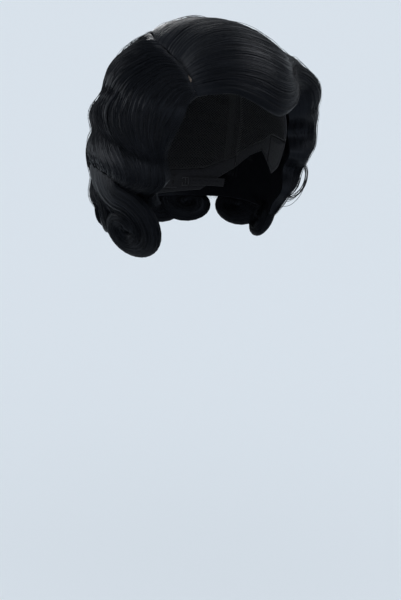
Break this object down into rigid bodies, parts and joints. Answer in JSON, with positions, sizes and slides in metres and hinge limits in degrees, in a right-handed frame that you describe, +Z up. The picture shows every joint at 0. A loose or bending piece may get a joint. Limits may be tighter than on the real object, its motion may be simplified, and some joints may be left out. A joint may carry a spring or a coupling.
{
  "type": "costume wig",
  "caption": "Short black side-parted finger-wave wig: waved hair sections and pin curls on a stretch weft cap with ear tabs, adjuster straps and hooks.",
  "frame": {"origin": "inside of the crown, where the cap rests on the top of the wearer's head", "axes": "+Z up, -Y out of the face opening, +X towards the wearer's left"},
  "size_m": [0.2181, 0.2134, 0.2165],
  "materials": {
    "hair": "glossy blue-black synthetic fibre, combed in waves",
    "net": "fine stretch net",
    "elastic": "ribbed knitted elastic",
    "tape": "woven tape, machine stitched",
    "skin_strip": "matt flesh-coloured parting strip",
    "steel": "flat spring stay",
    "hook": "moulded black plastic"
  },
  "bodies": {
    "wig": {"crown_net": "net", "side_net_left": "net", "side_net_right": "net", "back_net": "net", "front_band": "elastic", "nape_band": "elastic", "ear_band_left": "elastic", "ear_band_right": "elastic", "parting_strip": "skin_strip", "rib_centre": "tape", "rib_left": "tape", "rib_right": "tape", "weft_1": "tape", "weft_2": "tape", "weft_3": "tape", "weft_4": "tape", "weft_5": "tape", "weft_6": "tape", "loop_tape_left": "tape", "loop_tape_right": "tape", "fringe_sweep": "hair", "fringe_turn": "hair", "crown_hair_left": "hair", "crown_hair_back": "hair", "crown_hair_right": "hair", "left_front_upper_wave": "hair", "left_front_lower_wave": "hair", "left_back_upper_wave": "hair", "left_back_lower_wave": "hair", "back_left_upper_wave": "hair", "back_left_lower_wave": "hair", "back_right_upper_wave": "hair", "back_right_lower_wave": "hair", "right_back_upper_wave": "hair", "right_back_lower_wave": "hair", "right_front_upper_wave": "hair", "right_front_lower_wave": "hair", "pin_curl_right": "hair", "pin_curl_left": "hair", "nape_curl_1": "hair", "nape_curl_2": "hair", "nape_curl_3": "hair", "nape_curl_4": "hair", "nape_curl_5": "hair", "nape_curl_6": "hair"},
    "ear_tab_left": {"ear_tab_left": "tape", "ear_stay_left": "steel"},
    "adjuster_strap_left": {"adjuster_strap_left": "elastic"},
    "adjuster_hook_left": {"adjuster_hook_left": "hook"},
    "ear_tab_right": {"ear_tab_right": "tape", "ear_stay_right": "steel"},
    "adjuster_strap_right": {"adjuster_strap_right": "elastic"},
    "adjuster_hook_right": {"adjuster_hook_right": "hook"}
  },
  "joints": [
    {"name": "ear_tab_left_flex", "type": "hinge", "parent": "wig", "child": "ear_tab_left", "pos_m": [0.07477, -0.02648, -0.0864], "axis": [0.3338, 0.9426, 0], "range_deg": [0, 14]},
    {"name": "ear_tab_right_flex", "type": "hinge", "parent": "wig", "child": "ear_tab_right", "pos_m": [-0.07477, -0.02648, -0.0864], "axis": [0.3338, -0.9426, 0], "range_deg": [0, 14]},
    {"name": "adjuster_strap_left_swing", "type": "hinge", "parent": "wig", "child": "adjuster_strap_left", "pos_m": [0.06332, 0.03957, -0.14425], "axis": [0.4985, 0.3115, 0.809], "range_deg": [0, 55], "stiffness_Nm_per_rad": 0.01},
    {"name": "adjuster_strap_right_swing", "type": "hinge", "parent": "wig", "child": "adjuster_strap_right", "pos_m": [-0.06332, 0.03957, -0.14425], "axis": [0.4985, -0.3115, -0.809], "range_deg": [0, 55], "stiffness_Nm_per_rad": 0.01},
    {"name": "adjuster_hook_left_turn", "type": "hinge", "parent": "adjuster_strap_left", "child": "adjuster_hook_left", "pos_m": [0.0425, 0.06936, -0.1491], "axis": [0.3071, 0.5012, 0.809], "range_deg": [0, 48]},
    {"name": "adjuster_hook_right_turn", "type": "hinge", "parent": "adjuster_strap_right", "child": "adjuster_hook_right", "pos_m": [-0.0425, 0.06936, -0.1491], "axis": [0.3071, -0.5012, -0.809], "range_deg": [0, 48]}
  ]
}
